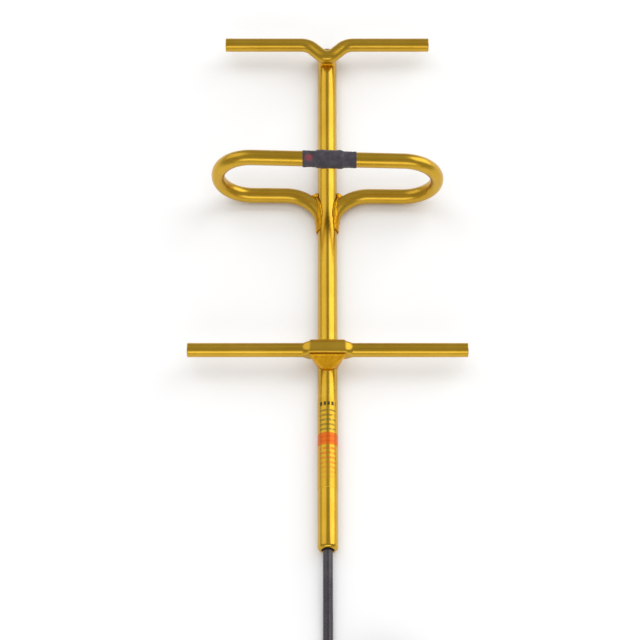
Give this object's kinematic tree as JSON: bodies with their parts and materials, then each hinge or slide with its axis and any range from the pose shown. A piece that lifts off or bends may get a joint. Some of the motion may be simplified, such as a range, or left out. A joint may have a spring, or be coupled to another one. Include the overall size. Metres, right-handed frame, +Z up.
{
  "type": "yagi antenna",
  "caption": "Gold anodised tube antenna with a straight boom, a reflector rod, a folded dipole with a covered feed, a V-centred director and a coiled coaxial pigtail.",
  "frame": {"origin": "centre of the antenna's footprint on the surface it lies on, without its cable", "axes": "+Y along the boom towards the director, +Z up from the surface to the dipole's fed conductor, +X to the right seen from the tail"},
  "size_m": [0.1784, 0.6366, 0.0576],
  "materials": {
    "anodised_gold": "bright-dipped gold anodised, softly glossy",
    "heat_shrink": "matt heat-shrink sleeve, faintly purple",
    "red_mark": "small faded red dot",
    "cable_jacket": "smooth dark jacket, slightly satin",
    "cable_braid": "tinned braid",
    "copper": "bare copper",
    "brass_contact": "turned",
    "ptfe": "smooth",
    "black_rubber": "matt",
    "black_nylon": "moulded",
    "label_film": "clear film with printed rows and an orange band",
    "nickel_plate": "nickel plated, satin",
    "red_gasket": "matt silicone"
  },
  "bodies": {
    "root": {"boom": "anodised_gold", "director": "anodised_gold", "director_weld": "anodised_gold", "reflector": "anodised_gold", "reflector_weld": "anodised_gold", "dipole_arm_left": "anodised_gold", "dipole_arm_right": "anodised_gold", "dipole_weld_left": "anodised_gold", "dipole_weld_right": "anodised_gold", "feed_cover": "heat_shrink", "feed_mark": "red_mark", "coax_in_boom": "cable_jacket", "pigtail_lead": "cable_jacket", "pigtail_coil": "cable_jacket", "pigtail_tail": "cable_jacket", "coax_in_dipole": "cable_braid", "feed_conductor": "copper", "feed_terminal": "brass_contact", "feed_braid_ring": "brass_contact", "centre_pin": "brass_contact", "lock_ring": "brass_contact", "feed_insulator": "ptfe", "connector_insulator": "ptfe", "boom_plug": "black_rubber", "tail_bushing": "black_rubber", "cable_boot": "black_rubber", "coil_tie": "black_nylon", "rating_label": "label_film", "crimp_ferrule": "nickel_plate", "connector_body": "nickel_plate", "connector_gasket": "red_gasket"},
    "coupling_nut": {"coupling_nut": "nickel_plate"}
  },
  "joints": [
    {"name": "nut_spin", "type": "hinge", "parent": "root", "child": "coupling_nut", "pos_m": [0, -0.43988, 0.0103], "axis": [0, 1, 0], "continuous": true}
  ]
}
